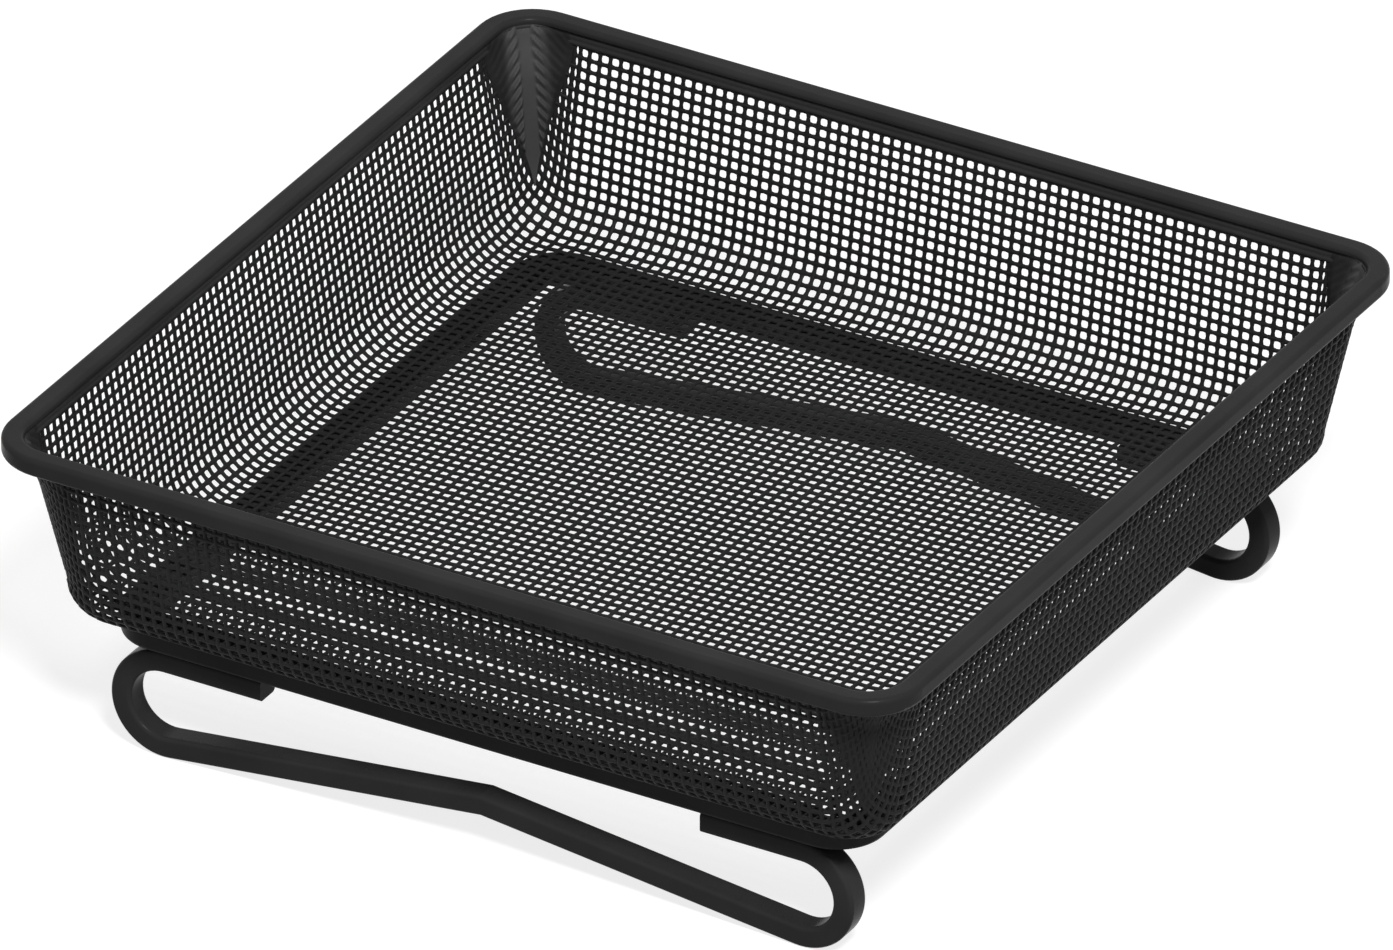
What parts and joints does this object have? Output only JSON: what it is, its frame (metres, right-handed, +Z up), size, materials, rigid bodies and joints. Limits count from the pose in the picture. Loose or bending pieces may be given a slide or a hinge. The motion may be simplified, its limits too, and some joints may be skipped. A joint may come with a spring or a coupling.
{
  "type": "platform bird feeder",
  "caption": "Square wire-mesh tray with leaning walls in a steel rim, on a base frame and bent bar legs with looped ends, for seed set out for birds.",
  "frame": {"origin": "on the ground, below the middle of the tray", "axes": "+X to the right along the front edge, -Y to the front, +Z up out of the tray"},
  "size_m": [0.18, 0.18, 0.0623],
  "materials": {
    "coated_mesh": "satin",
    "coated_bar": "satin"
  },
  "bodies": {
    "root": {"mesh_tray": "coated_mesh", "rim_frame": "coated_bar", "base_frame": "coated_bar", "front_leg": "coated_bar", "rear_leg": "coated_bar"}
  },
  "joints": []
}
